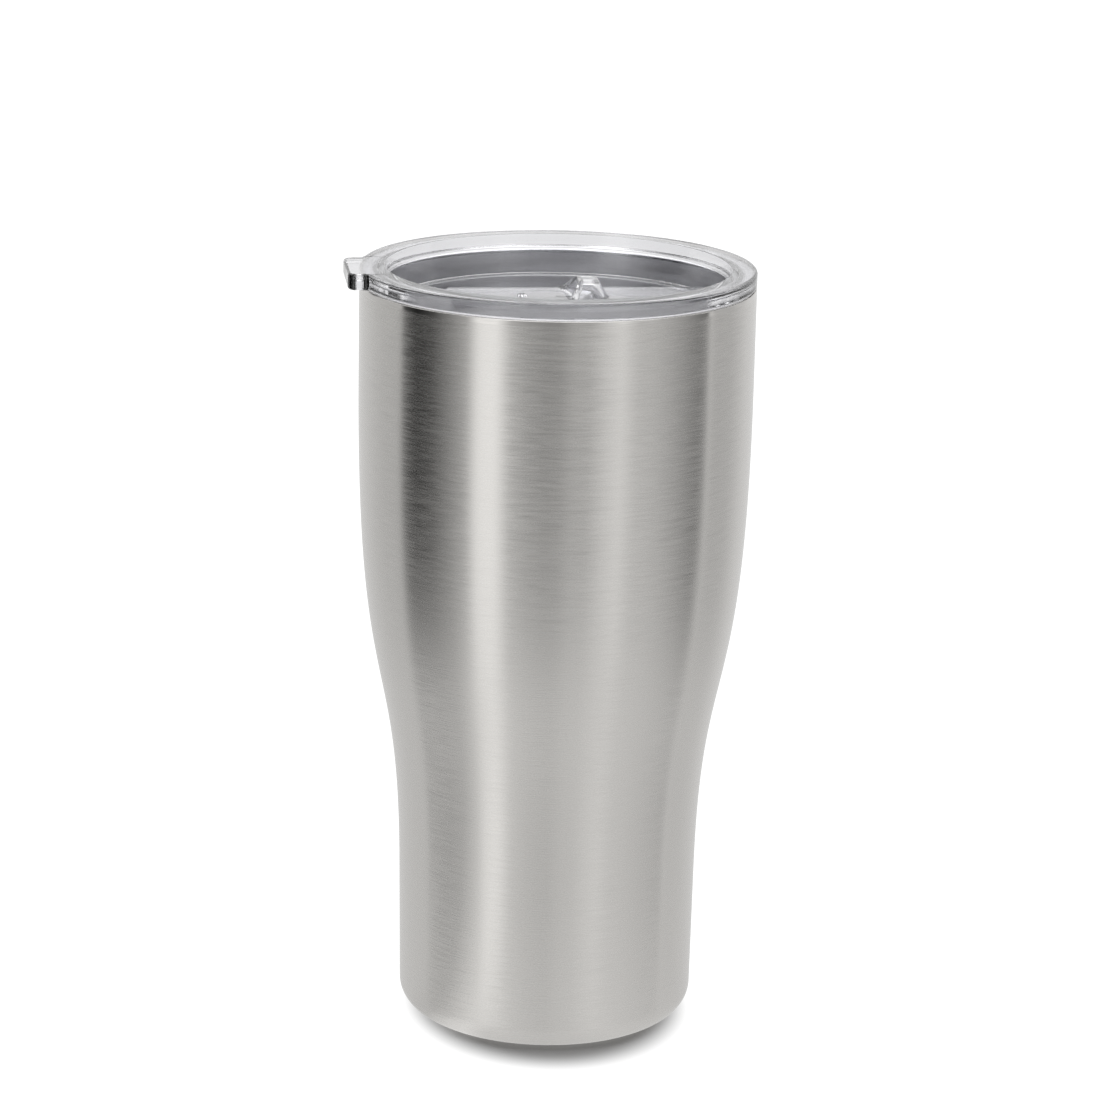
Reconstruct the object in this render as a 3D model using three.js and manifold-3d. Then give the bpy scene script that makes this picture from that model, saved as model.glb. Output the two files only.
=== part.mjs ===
// Insulated tumbler with a press-in lid: a double-walled steel cup with a waisted body, closed by a
// clear lid that has a pull tab and a sliding closure over its drinking hole.
// Millimetres, +Z up. The origin is the centre of the base, on the surface that the cup stands on.
// The lid's pull tab points along -X and its drinking hole lies towards +X.

import * as THREE from 'three';
import { mergeVertices } from 'three/addons/utils/BufferGeometryUtils.js';
import Module from 'manifold-3d';

// ---- driving dimensions ----

// cup body, outside
const RIM_HEIGHT = 196.2;
const RIM_RADIUS = 51.0;
const FOOT_RADIUS = 38.9; // the lower barrel's radius, carried down to the base plane
const BARREL_TAPER = 0.0113; // growth of that radius for each millimetre of height
const WAIST_START = 39; // height where the lower barrel begins to swell
const WAIST_END = 170; // height where the upper barrel becomes straight
const WAIST_PULL_LOW = 62; // lengths of the swelling curve's two handles
const WAIST_PULL_HIGH = 89;
const FOOT_CORNER = 6.4; // radius of the rounded bottom edge

// double wall
const WALL = 0.5;
const VACUUM_GAP = 2.7;
const LIP_THICKNESS = 0.8;
const LIP_EDGE = 0.4;
const LINER_FLOOR = 7.0; // height of the drink space's floor
const LINER_CORNER = 8.0;
const LINER_WELD_RADIUS = 26.0; // weld line between the liner's wall and its floor disc

// underside
const FOOT_OPENING = 31.2; // inner edge of the shell's turned-in foot
const RECESS_DEPTH = 1.7;
const DIMPLE_RADIUS = 4.4;
const DIMPLE_DEPTH = 1.2;
const EXHAUST_HOLE = 0.6;
const PAD_THICKNESS = 1.4;
const GETTER_RADIUS = 4.2;
const GETTER_THICKNESS = 1.6;
const GETTER_OFFSET = 16;

// lid
const FLANGE_HEIGHT = 4.1;
const FLANGE_ROUNDING = 0.6;
const RECESS_TOP_RADIUS = 44.5;
const RECESS_FLOOR_RADIUS = 42.2;
const LID_FLOOR_TOP = 190.4;
const LID_FLOOR_THICKNESS = 2.0;
const PLUG_RADIUS = 46.2;
const PLUG_BOTTOM = 184.6;
const SKIRT_INNER_RADIUS = 42.3;
const GROOVE_RADIUS = 44.4;
const GROOVE_BOTTOM = 185.5;
const GROOVE_TOP = 189.0;
const TAB_REACH = 54.6; // distance of the tab's outer edge from the axis
const TAB_WIDTH = 24;
const TAB_CORNER = 2.5;
const DRINK_HOLE = { x: 35.2, length: 9.4, width: 15 };

// sliding closure
const SLIDER_TRAVEL = 12.5;
const SLIDER_HALF_WIDTH = 11.8;
const SLIDER_BOTTOM = 190.8;
const SLIDER_TOP = 192.6;
const SLIDER_END_RADIUS = 41.8;
const VENT_X = -9.2; // the slider's vent, which meets the lid's vent when the slider is open
const VENT_RADIUS = 0.55;
const VENT_BOSS_RADIUS = 1.2;
const VENT_BOSS_HEIGHT = 0.6;
const GRIP = {
  height: 4.7,
  centerX: 1.2, // centre of the rounded pushing side
  baseRadius: 11.7,
  topRadius: 9.0,
  fingerRadius: 24.2, // finger side, curved in towards the tab
  fingerX: 4.5,
  crestHalfWidth: 3.0,
  baseHalfWidth: 11.5,
  wall: 1.4, // the grip is moulded hollow, open below
};
const STEM = { x: 2, length: 5, width: 3.2, headLength: 6.4, headThickness: 0.9 };
const RETAINER = { length: 12, width: 9, thickness: 1.4, corner: 2 };

const SHOULDER_INSET = 1.6; // the slanted shoulders need this much more inset for the same wall
const GAP = 0.3; // clearance between pieces that touch
const ROUND_STEPS = 48; // facets round the cup's axis
const SMALL_STEPS = 24; // facets round the small pieces
const CORNER_STEPS = 4;
const WAIST_STEPS = 9;
const CUT_MARGIN = 1; // how far a cutter runs past the faces it cuts

const flangeBottom = RIM_HEIGHT + GAP;
const flangeTop = flangeBottom + FLANGE_HEIGHT;
const lidFloorBottom = LID_FLOOR_TOP - LID_FLOOR_THICKNESS;
const retainerTop = lidFloorBottom - GAP;
const retainerBottom = retainerTop - RETAINER.thickness;
const stemHeadTop = retainerBottom - GAP;

const wasm = await Module();
wasm.setup();

// ---- helpers ----

const point = (radius, height) => new THREE.Vector2(radius, height);

// Joins the shared vertices and leaves out the triangles that shrink to nothing on the axis.
function weld(geometry) {
  geometry.deleteAttribute('normal');
  geometry.deleteAttribute('uv');
  const merged = mergeVertices(geometry, 1e-4);
  const index = merged.index.array;
  const kept = [];
  for (let i = 0; i < index.length; i += 3) {
    const [a, b, c] = [index[i], index[i + 1], index[i + 2]];
    if (a !== b && b !== c && c !== a) {
      kept.push(a, b, c);
    }
  }
  merged.setIndex(kept);
  return merged;
}

// Turns a closed profile of (radius, height) points round the Z axis. The points run
// anticlockwise, with the radius to the right and the height upwards.
function turned(profile, steps = ROUND_STEPS) {
  const closed = profile[0].x === 0 ? profile : [...profile, profile[0]];
  const lathe = new THREE.LatheGeometry(closed, steps);
  lathe.rotateX(Math.PI / 2);
  return weld(lathe);
}

// Extrudes an outline in the XY plane from one height to another.
function plate(outline, bottom, top, options = {}) {
  const extruded = new THREE.ExtrudeGeometry(outline, {
    depth: top - bottom,
    bevelEnabled: false,
    curveSegments: 8,
    ...options,
  });
  extruded.translate(0, 0, bottom);
  return weld(extruded);
}

function roundedRectangle(centerX, length, width, corner) {
  const [left, right] = [centerX - length / 2, centerX + length / 2];
  const half = width / 2;
  const shape = new THREE.Shape();
  shape.moveTo(left + corner, -half);
  shape.lineTo(right - corner, -half);
  shape.absarc(right - corner, -half + corner, corner, -Math.PI / 2, 0);
  shape.lineTo(right, half - corner);
  shape.absarc(right - corner, half - corner, corner, 0, Math.PI / 2);
  shape.lineTo(left + corner, half);
  shape.absarc(left + corner, half - corner, corner, Math.PI / 2, Math.PI);
  shape.lineTo(left, -half + corner);
  shape.absarc(left + corner, -half + corner, corner, Math.PI, Math.PI * 1.5);
  return shape;
}

function block(length, width, bottom, top, x) {
  const box = new THREE.BoxGeometry(length, width, top - bottom);
  box.translate(x, 0, (bottom + top) / 2);
  return weld(box);
}

// An upright cylinder or cone frustum.
function round(bottomRadius, topRadius, bottom, top, x, steps = SMALL_STEPS) {
  const cylinder = new THREE.CylinderGeometry(topRadius, bottomRadius, top - bottom, steps);
  cylinder.rotateX(Math.PI / 2);
  cylinder.translate(x, 0, (bottom + top) / 2);
  return weld(cylinder);
}

function toSolid(geometry) {
  return new wasm.Manifold(new wasm.Mesh({
    numProp: 3,
    vertProperties: new Float32Array(geometry.attributes.position.array),
    triVerts: new Uint32Array(geometry.index.array),
  }));
}

function fromSolid(solid) {
  const mesh = solid.getMesh();
  const geometry = new THREE.BufferGeometry();
  geometry.setAttribute('position', new THREE.Float32BufferAttribute(mesh.vertProperties, 3));
  geometry.setIndex(new THREE.Uint32BufferAttribute(mesh.triVerts, 1));
  return geometry;
}

const steel = () => new THREE.MeshStandardMaterial({ color: 0xbdbab6, roughness: 0.32, metalness: 1 });
const clearPlastic = () => new THREE.MeshStandardMaterial({
  color: 0xdedfe6, roughness: 0.08, metalness: 0, transparent: true, opacity: 0.4,
});
const silicone = (color) => new THREE.MeshStandardMaterial({ color, roughness: 0.6, metalness: 0 });

const tumbler = new THREE.Group();

function addPiece(name, geometry, material) {
  geometry.computeVertexNormals();
  const mesh = new THREE.Mesh(geometry, material);
  mesh.name = name;
  tumbler.add(mesh);
}

// ---- cup ----

const barrelRadius = (height) => FOOT_RADIUS + BARREL_TAPER * height;

// The body's outline from its floor to its top, set in from the outside by a wall's thickness:
// a rounded bottom corner, the lower barrel, the swelling and the upper barrel.
function bodyOutline(inset, floor, corner, top) {
  const cornerTop = floor + corner;
  const cornerX = barrelRadius(cornerTop) - inset - corner;
  const outline = [];
  for (let i = 0; i <= CORNER_STEPS; i++) {
    const angle = (Math.PI / 2) * (i / CORNER_STEPS);
    outline.push(point(cornerX + corner * Math.sin(angle), cornerTop - corner * Math.cos(angle)));
  }
  const start = barrelRadius(WAIST_START) - inset;
  const end = RIM_RADIUS - inset;
  const swelling = new THREE.CubicBezierCurve(
    point(start, WAIST_START),
    point(start + BARREL_TAPER * WAIST_PULL_LOW, WAIST_START + WAIST_PULL_LOW),
    point(end, WAIST_END - WAIST_PULL_HIGH),
    point(end, WAIST_END),
  );
  outline.push(...swelling.getPoints(WAIST_STEPS));
  outline.push(point(end, top));
  return outline;
}

function outerShell() {
  const top = RIM_HEIGHT - LIP_THICKNESS - GAP;
  const outside = bodyOutline(0, 0, FOOT_CORNER, top);
  const inside = bodyOutline(WALL, WALL, FOOT_CORNER - WALL, top);
  return turned([
    point(FOOT_OPENING, 0),
    ...outside,
    ...inside.reverse(),
    point(FOOT_OPENING, WALL),
  ]);
}

function innerLiner() {
  const inset = WALL + VACUUM_GAP;
  const lipUnderside = RIM_HEIGHT - LIP_THICKNESS;
  const vacuumSide = bodyOutline(inset, LINER_FLOOR - WALL, LINER_CORNER + WALL, lipUnderside);
  const drinkSide = bodyOutline(inset + WALL, LINER_FLOOR, LINER_CORNER, RIM_HEIGHT);
  return turned([
    point(LINER_WELD_RADIUS, LINER_FLOOR - WALL),
    ...vacuumSide,
    point(RIM_RADIUS, lipUnderside),
    point(RIM_RADIUS, RIM_HEIGHT - LIP_EDGE),
    point(RIM_RADIUS - LIP_EDGE, RIM_HEIGHT),
    ...drinkSide.reverse(),
    point(LINER_WELD_RADIUS, LINER_FLOOR),
  ]);
}

function linerBottom() {
  const radius = LINER_WELD_RADIUS - GAP;
  return turned([
    point(0, LINER_FLOOR - WALL),
    point(radius, LINER_FLOOR - WALL),
    point(radius, LINER_FLOOR),
    point(0, LINER_FLOOR),
  ]);
}

// A pressed pan with a turned-down rim, and a dimple round the exhaust hole.
function outerBottom() {
  const radius = FOOT_OPENING - GAP;
  const dimpleSlope = DIMPLE_RADIUS - DIMPLE_DEPTH;
  const dimpleTop = RECESS_DEPTH + DIMPLE_DEPTH;
  return turned([
    point(EXHAUST_HOLE, dimpleTop),
    point(dimpleSlope, dimpleTop),
    point(DIMPLE_RADIUS, RECESS_DEPTH),
    point(radius - WALL, RECESS_DEPTH),
    point(radius - WALL, GAP),
    point(radius, GAP),
    point(radius, RECESS_DEPTH + WALL),
    point(DIMPLE_RADIUS + WALL / 2, RECESS_DEPTH + WALL),
    point(dimpleSlope + WALL / 2, dimpleTop + WALL),
    point(EXHAUST_HOLE, dimpleTop + WALL),
  ]);
}

function vacuumSeal() {
  const radius = DIMPLE_RADIUS - DIMPLE_DEPTH - 2 * GAP;
  const top = RECESS_DEPTH + DIMPLE_DEPTH - GAP;
  return turned([
    point(0, RECESS_DEPTH + GAP),
    point(radius * 0.7, RECESS_DEPTH + GAP),
    point(radius, (RECESS_DEPTH + GAP + top) / 2),
    point(radius * 0.85, top),
    point(0, top),
  ], SMALL_STEPS);
}

function basePad() {
  const radius = FOOT_OPENING - GAP - WALL - GAP;
  return turned([
    point(0, 0),
    point(radius - GAP, 0),
    point(radius, GAP),
    point(radius, PAD_THICKNESS),
    point(0, PAD_THICKNESS),
  ]);
}

// A cup that is spot-welded to the outer bottom and holds the getter pill.
function getterClip() {
  const bottom = RECESS_DEPTH + WALL + GAP;
  const inside = GETTER_RADIUS + GAP;
  const wall = 0.4;
  const rim = bottom + wall + GAP + GETTER_THICKNESS * 0.8;
  const cup = turned([
    point(0, bottom),
    point(inside + wall, bottom),
    point(inside + wall, rim),
    point(inside, rim),
    point(inside, bottom + wall),
    point(0, bottom + wall),
  ], SMALL_STEPS);
  const strapLength = 4 * GETTER_RADIUS;
  const strap = block(strapLength, GETTER_RADIUS, bottom, bottom + wall, 0);
  return fromSolid(toSolid(cup).add(toSolid(strap))).translate(GETTER_OFFSET, 0, 0);
}

function getter() {
  const bottom = RECESS_DEPTH + WALL + GAP + 0.4 + GAP;
  return round(GETTER_RADIUS, GETTER_RADIUS, bottom, bottom + GETTER_THICKNESS, GETTER_OFFSET);
}

// ---- lid ----

function lidGasket() {
  const inner = GROOVE_RADIUS + GAP;
  const outer = PLUG_RADIUS - 0.4;
  const lip = RIM_RADIUS - 2 * WALL - VACUUM_GAP - GAP;
  const bottom = GROOVE_BOTTOM + GAP;
  const top = GROOVE_TOP - GAP;
  const pitch = (top - bottom) / 4;
  return turned([
    point(inner, bottom),
    point(outer, bottom),
    point(lip, bottom + pitch),
    point(outer, bottom + 2 * pitch),
    point(lip, bottom + 3 * pitch),
    point(outer, top),
    point(inner, top),
  ]);
}

function lidRing() {
  return turned([
    point(0, lidFloorBottom),
    point(SKIRT_INNER_RADIUS, lidFloorBottom),
    point(SKIRT_INNER_RADIUS + GAP, PLUG_BOTTOM),
    point(PLUG_RADIUS - FLANGE_ROUNDING, PLUG_BOTTOM),
    point(PLUG_RADIUS, PLUG_BOTTOM + FLANGE_ROUNDING),
    point(PLUG_RADIUS, GROOVE_BOTTOM),
    point(GROOVE_RADIUS, GROOVE_BOTTOM),
    point(GROOVE_RADIUS, GROOVE_TOP),
    point(PLUG_RADIUS, GROOVE_TOP),
    point(PLUG_RADIUS, flangeBottom),
    point(RIM_RADIUS - GAP, flangeBottom),
    point(RIM_RADIUS, flangeBottom + GAP),
    point(RIM_RADIUS, flangeTop - FLANGE_ROUNDING),
    point(RIM_RADIUS - FLANGE_ROUNDING, flangeTop),
    point(RECESS_TOP_RADIUS + GAP, flangeTop),
    point(RECESS_TOP_RADIUS, flangeTop - GAP),
    point(RECESS_FLOOR_RADIUS, LID_FLOOR_TOP),
    point(0, LID_FLOOR_TOP),
  ]);
}

function pullTab() {
  const root = RIM_RADIUS - 3;
  const bevel = FLANGE_ROUNDING;
  const length = TAB_REACH - root;
  const outline = roundedRectangle(-(TAB_REACH + root) / 2, length, TAB_WIDTH, TAB_CORNER);
  return plate(outline, flangeBottom + bevel, flangeTop - bevel, {
    bevelEnabled: true,
    bevelThickness: bevel,
    bevelSize: bevel,
    bevelOffset: -bevel,
    bevelSegments: 2,
  });
}

function lidBody() {
  const [low, high] = [lidFloorBottom - CUT_MARGIN, LID_FLOOR_TOP + CUT_MARGIN];
  const { x, length, width } = DRINK_HOLE;
  const drinkHole = plate(roundedRectangle(x, length, width, length / 2 - 0.01), low, high);
  const slotLength = STEM.length + SLIDER_TRAVEL + 2 * GAP;
  const slotX = STEM.x - SLIDER_TRAVEL / 2;
  const guideSlot = block(slotLength, STEM.width + 2 * GAP, low, high, slotX);
  const vent = round(VENT_RADIUS, VENT_RADIUS, low, high, VENT_X - SLIDER_TRAVEL);
  return fromSolid(toSolid(lidRing())
    .add(toSolid(pullTab()))
    .subtract(toSolid(drinkHole))
    .subtract(toSolid(guideSlot))
    .subtract(toSolid(vent)));
}

// The closure's outline: both ends follow the round recess, the left end once the closure is open.
function sliderOutline() {
  const tip = Math.asin(SLIDER_HALF_WIDTH / SLIDER_END_RADIUS);
  const shape = new THREE.Shape();
  shape.absarc(0, 0, SLIDER_END_RADIUS, -tip, tip);
  shape.absarc(SLIDER_TRAVEL, 0, SLIDER_END_RADIUS, Math.PI - tip, Math.PI + tip);
  return shape;
}

// A crescent: round on the pushing side, curved in on the finger side, lower towards its tips.
// With an inset it is the hollow inside walls of that thickness. Both run on down to low.
function crescent(inset, low) {
  const base = SLIDER_TOP - WALL;
  const crest = SLIDER_TOP + GRIP.height;
  const top = crest - inset;
  const lean = (GRIP.baseRadius - GRIP.topRadius) / (crest - base);
  const radiusAt = (z) => GRIP.baseRadius - inset - lean * (z - base);
  const body = round(radiusAt(low), radiusAt(top), low, top, GRIP.centerX, ROUND_STEPS);
  const fingerRadius = GRIP.fingerRadius + inset;
  const fingerX = GRIP.fingerX - GRIP.fingerRadius;
  const fingerSide = round(
    fingerRadius, fingerRadius, low - CUT_MARGIN, top + CUT_MARGIN, fingerX, 96,
  );
  const slant = (GRIP.baseHalfWidth - GRIP.crestHalfWidth) / GRIP.height;
  const halfWidth = GRIP.baseHalfWidth - SHOULDER_INSET * inset;
  const topHalfWidth = halfWidth - slant * (top - SLIDER_TOP);
  const shoulder = new THREE.Shape([
    point(-halfWidth, low),
    point(halfWidth, low),
    point(halfWidth, SLIDER_TOP),
    point(topHalfWidth, top),
    point(-topHalfWidth, top),
    point(-halfWidth, SLIDER_TOP),
  ]);
  const reach = 2 * GRIP.baseRadius;
  const arch = new THREE.ExtrudeGeometry(shoulder, { depth: 2 * reach, bevelEnabled: false });
  arch.rotateX(Math.PI / 2);
  arch.rotateZ(Math.PI / 2);
  arch.translate(-reach, 0, 0);
  return toSolid(body).intersect(toSolid(weld(arch))).subtract(toSolid(fingerSide));
}

function slider() {
  const bossTop = SLIDER_TOP + VENT_BOSS_HEIGHT;
  const closure = plate(sliderOutline(), SLIDER_BOTTOM, SLIDER_TOP, { curveSegments: 12 });
  const boss = round(VENT_BOSS_RADIUS, VENT_BOSS_RADIUS, SLIDER_BOTTOM + WALL, bossTop, VENT_X);
  const vent = round(
    VENT_RADIUS, VENT_RADIUS, SLIDER_BOTTOM - CUT_MARGIN, bossTop + CUT_MARGIN, VENT_X,
  );
  const stem = block(STEM.length, STEM.width, stemHeadTop - WALL, SLIDER_BOTTOM + WALL, STEM.x);
  const headBottom = stemHeadTop - STEM.headThickness;
  const head = block(STEM.headLength, STEM.width, headBottom, stemHeadTop, STEM.x);
  return fromSolid(toSolid(closure)
    .add(toSolid(boss))
    .add(crescent(0, SLIDER_TOP - WALL))
    .subtract(crescent(GRIP.wall, SLIDER_BOTTOM - CUT_MARGIN))
    .add(toSolid(stem))
    .add(toSolid(head))
    .subtract(toSolid(vent)));
}

function sliderRetainer() {
  const { length, width, corner } = RETAINER;
  const washer = plate(roundedRectangle(STEM.x, length, width, corner), retainerBottom, retainerTop);
  const [low, high] = [retainerBottom - CUT_MARGIN, retainerTop + CUT_MARGIN];
  const opening = block(STEM.length + 2 * GAP, STEM.width + 2 * GAP, low, high, STEM.x);
  return fromSolid(toSolid(washer).subtract(toSolid(opening)));
}

// ---- assembly ----

addPiece('outer_shell', outerShell(), steel());
addPiece('outer_bottom', outerBottom(), steel());
addPiece('inner_liner', innerLiner(), steel());
addPiece('liner_bottom', linerBottom(), steel());
addPiece('vacuum_seal', vacuumSeal(), new THREE.MeshStandardMaterial({ color: 0x4a4d50, roughness: 0.3 }));
addPiece('getter_clip', getterClip(), steel());
addPiece('getter', getter(), new THREE.MeshStandardMaterial({ color: 0x6d6a66, roughness: 0.7 }));
addPiece('base_pad', basePad(), silicone(0x5c5d60));
addPiece('lid_gasket', lidGasket(), silicone(0xe6e7e8));
addPiece('lid_body', lidBody(), clearPlastic());
addPiece('slider', slider(), clearPlastic());
addPiece('slider_retainer', sliderRetainer(), clearPlastic());

export default tumbler;
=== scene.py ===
"""Looks of the insulated tumbler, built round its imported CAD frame. Lengths are in metres."""

import math

import bmesh
import bpy
from mathutils import Matrix, Vector


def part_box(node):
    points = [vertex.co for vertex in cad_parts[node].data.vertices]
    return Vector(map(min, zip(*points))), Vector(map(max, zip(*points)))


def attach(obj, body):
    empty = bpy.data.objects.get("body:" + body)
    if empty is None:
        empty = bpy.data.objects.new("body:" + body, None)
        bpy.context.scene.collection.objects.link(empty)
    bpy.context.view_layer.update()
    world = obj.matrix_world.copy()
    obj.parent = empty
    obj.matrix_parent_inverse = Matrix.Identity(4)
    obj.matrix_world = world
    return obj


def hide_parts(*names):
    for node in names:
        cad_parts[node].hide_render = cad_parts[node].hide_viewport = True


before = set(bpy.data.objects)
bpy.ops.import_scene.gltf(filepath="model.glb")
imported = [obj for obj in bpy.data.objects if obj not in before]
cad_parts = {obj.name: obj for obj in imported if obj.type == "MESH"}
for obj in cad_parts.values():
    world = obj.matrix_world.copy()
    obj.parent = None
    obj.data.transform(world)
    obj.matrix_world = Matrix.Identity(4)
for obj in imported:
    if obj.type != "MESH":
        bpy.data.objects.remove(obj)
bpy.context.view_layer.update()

# ---- driving dimensions ----

MM = 0.001
SEGMENTS = 288  # facets round the cup's axis
FILLET_STEPS = 6
SHARP_ANGLE = math.radians(35)  # edges sharper than this stay crisp in the shading

shell_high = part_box("outer_shell")[1]
liner_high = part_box("inner_liner")[1]
floor_disc_low, floor_disc_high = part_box("liner_bottom")
pan_low, pan_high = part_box("outer_bottom")
pad_low, pad_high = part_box("base_pad")
seal_low, seal_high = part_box("vacuum_seal")
clip_low, clip_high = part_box("getter_clip")
pill_low, pill_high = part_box("getter")
gasket_low, gasket_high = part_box("lid_gasket")
lid_low, lid_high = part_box("lid_body")
slider_low, slider_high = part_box("slider")
retainer_low, retainer_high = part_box("slider_retainer")

# cup, as the CAD model has it
rim_height = liner_high.z
rim_radius = shell_high.x
foot_radius = 38.9 * MM
barrel_taper = 0.0113
waist_start = 39 * MM
waist_end = 170 * MM
waist_pull_low = 62 * MM
waist_pull_high = 89 * MM
foot_corner = 6.4 * MM
foot_opening = 31.2 * MM
wall = 0.5 * MM
vacuum_gap = 2.7 * MM
liner_floor = floor_disc_high.z
liner_corner = 8 * MM
liner_weld_radius = 26 * MM
lip_rounding = 0.3 * MM  # at the lip's outer edge
lip_inner_rounding = 0.8 * MM
lip_seam_radius = rim_radius - 0.9 * MM
lip_seam_gap = 0.02 * MM
foot_edge_rise = 0.3 * MM
foot_edge_width = 0.2 * MM

# lid
flange_bottom = rim_height + 0.15 * MM
flange_top = lid_high.z
recess_top_radius = 44.5 * MM
recess_floor_radius = 42.2 * MM
lid_floor_top = 190.4 * MM
lid_floor_bottom = 188.4 * MM
plug_radius = 46.2 * MM
plug_bottom = lid_low.z
skirt_inner_radius = 42.3 * MM
groove_radius = 44.4 * MM
groove_bottom = 185.5 * MM
groove_top = 189 * MM
tab_reach = -lid_low.x
tab_width = 24 * MM
tab_corner = 2.5 * MM
tab_root = 1.5 * MM
drink_hole = (35.2 * MM, 9.4 * MM, 15 * MM, 4.6 * MM)  # middle, length, width, corner radius
slot_length = 18.1 * MM
slot_width = 3.8 * MM
small_corner = 0.6 * MM  # of the slot and the retainer's opening

# sliding closure
slider_half_width = slider_high.y
plate_bottom = 190.8 * MM
plate_top = 192.6 * MM
plate_edge = 0.45 * MM
slider_travel = 12.5 * MM
slider_end_radius = slider_high.x
vent_x = -9.2 * MM
vent_radius = 0.55 * MM
grip_height = slider_high.z - plate_top
grip_wall = 1.4 * MM
grip_push_radius = 11.7 * MM  # the crescent's round side, towards the drinking hole
grip_push_x = 1.2 * MM
grip_finger_radius = 23.7 * MM  # its hollow side, towards the tab
grip_finger_x = -19.7 * MM
grip_half_width = 11.5 * MM
boss_radius = 1.3 * MM
boss_height = 0.6 * MM
stem_x = (retainer_low.x + retainer_high.x) / 2


# ---- outlines ----

def filleted(corners, closed=False, steps=FILLET_STEPS):
    """The polyline through corners, each an (x, y) or an (x, y, radius) that is rounded off."""
    count = len(corners)
    line = []
    for i, (x, y, *rest) in enumerate(corners):
        radius = rest[0] if rest else 0
        here = Vector((x, y))
        if not radius or (not closed and i in (0, count - 1)):
            line.append(here)
            continue
        back = (Vector(corners[i - 1][:2]) - here).normalized()
        on = (Vector(corners[(i + 1) % count][:2]) - here).normalized()
        half = back.angle(on) / 2
        centre = here + (back + on).normalized() * (radius / math.sin(half))
        start = here + back * (radius / math.tan(half)) - centre
        sweep = math.pi - 2 * half
        turn = 1 if back.cross(on) < 0 else -1
        for k in range(steps + 1):
            line.append(centre + Matrix.Rotation(turn * sweep * k / steps, 2) @ start)
    return line


def offset(outline, distance):
    """A closed anticlockwise outline moved outwards by distance."""
    moved = []
    for i, here in enumerate(outline):
        along = outline[(i + 1) % len(outline)] - outline[i - 1]
        moved.append(here + Vector((along.y, -along.x)).normalized() * distance)
    return moved


def densified(outline, longest):
    """The same closed outline with no edge longer than longest."""
    dense = []
    for i, here in enumerate(outline):
        after = outline[(i + 1) % len(outline)]
        parts = max(1, math.ceil((after - here).length / longest))
        dense += [here.lerp(after, k / parts) for k in range(parts)]
    return dense


def rounded_rectangle(centre_x, length, width, corner, steps=8):
    left, right = centre_x - length / 2, centre_x + length / 2
    half = width / 2
    corners = [(left, -half), (right, -half), (right, half), (left, half)]
    return filleted([(x, y, corner) for x, y in corners], closed=True, steps=steps)


def circle(radius, centre_x=0.0, steps=48):
    turns = [2 * math.pi * i / steps for i in range(steps)]
    return [Vector((centre_x + radius * math.cos(a), radius * math.sin(a))) for a in turns]


def at_height(outline, z):
    return [Vector((p.x, p.y, z)) for p in outline]


def barrel_radius(z):
    return foot_radius + barrel_taper * z


def body_outline(inset, floor, corner, top, waist_steps=56, corner_steps=14):
    """(radius, height) points of the waisted body, set in from the outside, from floor to top."""
    corner_top = floor + corner
    corner_x = barrel_radius(corner_top) - inset - corner
    points = []
    for i in range(corner_steps + 1):
        angle = math.pi / 2 * i / corner_steps
        points.append((corner_x + corner * math.sin(angle), corner_top - corner * math.cos(angle)))
    start = barrel_radius(waist_start) - inset
    end = rim_radius - inset
    handles = [
        Vector((start, waist_start)),
        Vector((start + barrel_taper * waist_pull_low, waist_start + waist_pull_low)),
        Vector((end, waist_end - waist_pull_high)),
        Vector((end, waist_end)),
    ]
    for i in range(waist_steps + 1):
        t = i / waist_steps
        weights = ((1 - t) ** 3, 3 * t * (1 - t) ** 2, 3 * t * t * (1 - t), t ** 3)
        p = sum((h * w for h, w in zip(handles, weights)), Vector((0, 0)))
        points.append((p.x, p.y))
    points.append((end, top))
    return points


# ---- meshes ----

def mesh_object(name, vertices, faces):
    mesh = bpy.data.meshes.new(name)
    mesh.from_pydata([tuple(v) for v in vertices], [], faces)
    bm = bmesh.new()
    bm.from_mesh(mesh)
    bmesh.ops.remove_doubles(bm, verts=bm.verts, dist=1e-7)
    bmesh.ops.dissolve_degenerate(bm, edges=bm.edges, dist=1e-8)
    bmesh.ops.recalc_face_normals(bm, faces=bm.faces)
    bm.to_mesh(mesh)
    bm.free()
    piece = bpy.data.objects.new(name, mesh)
    bpy.context.scene.collection.objects.link(piece)
    return piece


def lofted(name, rows, closed=False):
    """A solid through rows of points round the axis: closed on itself, or capped at both ends."""
    count = len(rows[0])
    vertices = [p for row in rows for p in row]
    faces = []
    last = len(rows) if closed else len(rows) - 1
    for i in range(last):
        a, b = i * count, (i + 1) % len(rows) * count
        for j in range(count):
            k = (j + 1) % count
            faces.append((a + j, a + k, b + k, b + j))
    if not closed:
        faces.append(tuple(range(count)))
        faces.append(tuple(range((len(rows) - 1) * count, len(rows) * count)))
    return mesh_object(name, vertices, faces)


def revolved(name, profile, segments=SEGMENTS, centre_x=0.0):
    """A profile of (radius, height) points turned round the axis. On the axis it ends, else it closes."""
    on_axis = abs(profile[0][0]) < 1e-9
    turns = [(math.cos(2 * math.pi * j / segments), math.sin(2 * math.pi * j / segments))
             for j in range(segments)]
    rows = [[Vector((centre_x + r * c, r * s, z)) for c, s in turns] for r, z in profile]
    if not on_axis:
        return lofted(name, rows, closed=True)
    vertices = [Vector((centre_x, 0, profile[0][1]))]
    vertices += [p for row in rows[1:-1] for p in row]
    vertices.append(Vector((centre_x, 0, profile[-1][1])))
    faces = []
    rings = len(rows) - 2
    for j in range(segments):
        k = (j + 1) % segments
        faces.append((0, 1 + j, 1 + k))
        for i in range(rings - 1):
            a, b = 1 + i * segments, 1 + (i + 1) * segments
            faces.append((a + j, a + k, b + k, b + j))
        a = 1 + (rings - 1) * segments
        faces.append((a + j, a + k, len(vertices) - 1))
    return mesh_object(name, vertices, faces)


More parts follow.
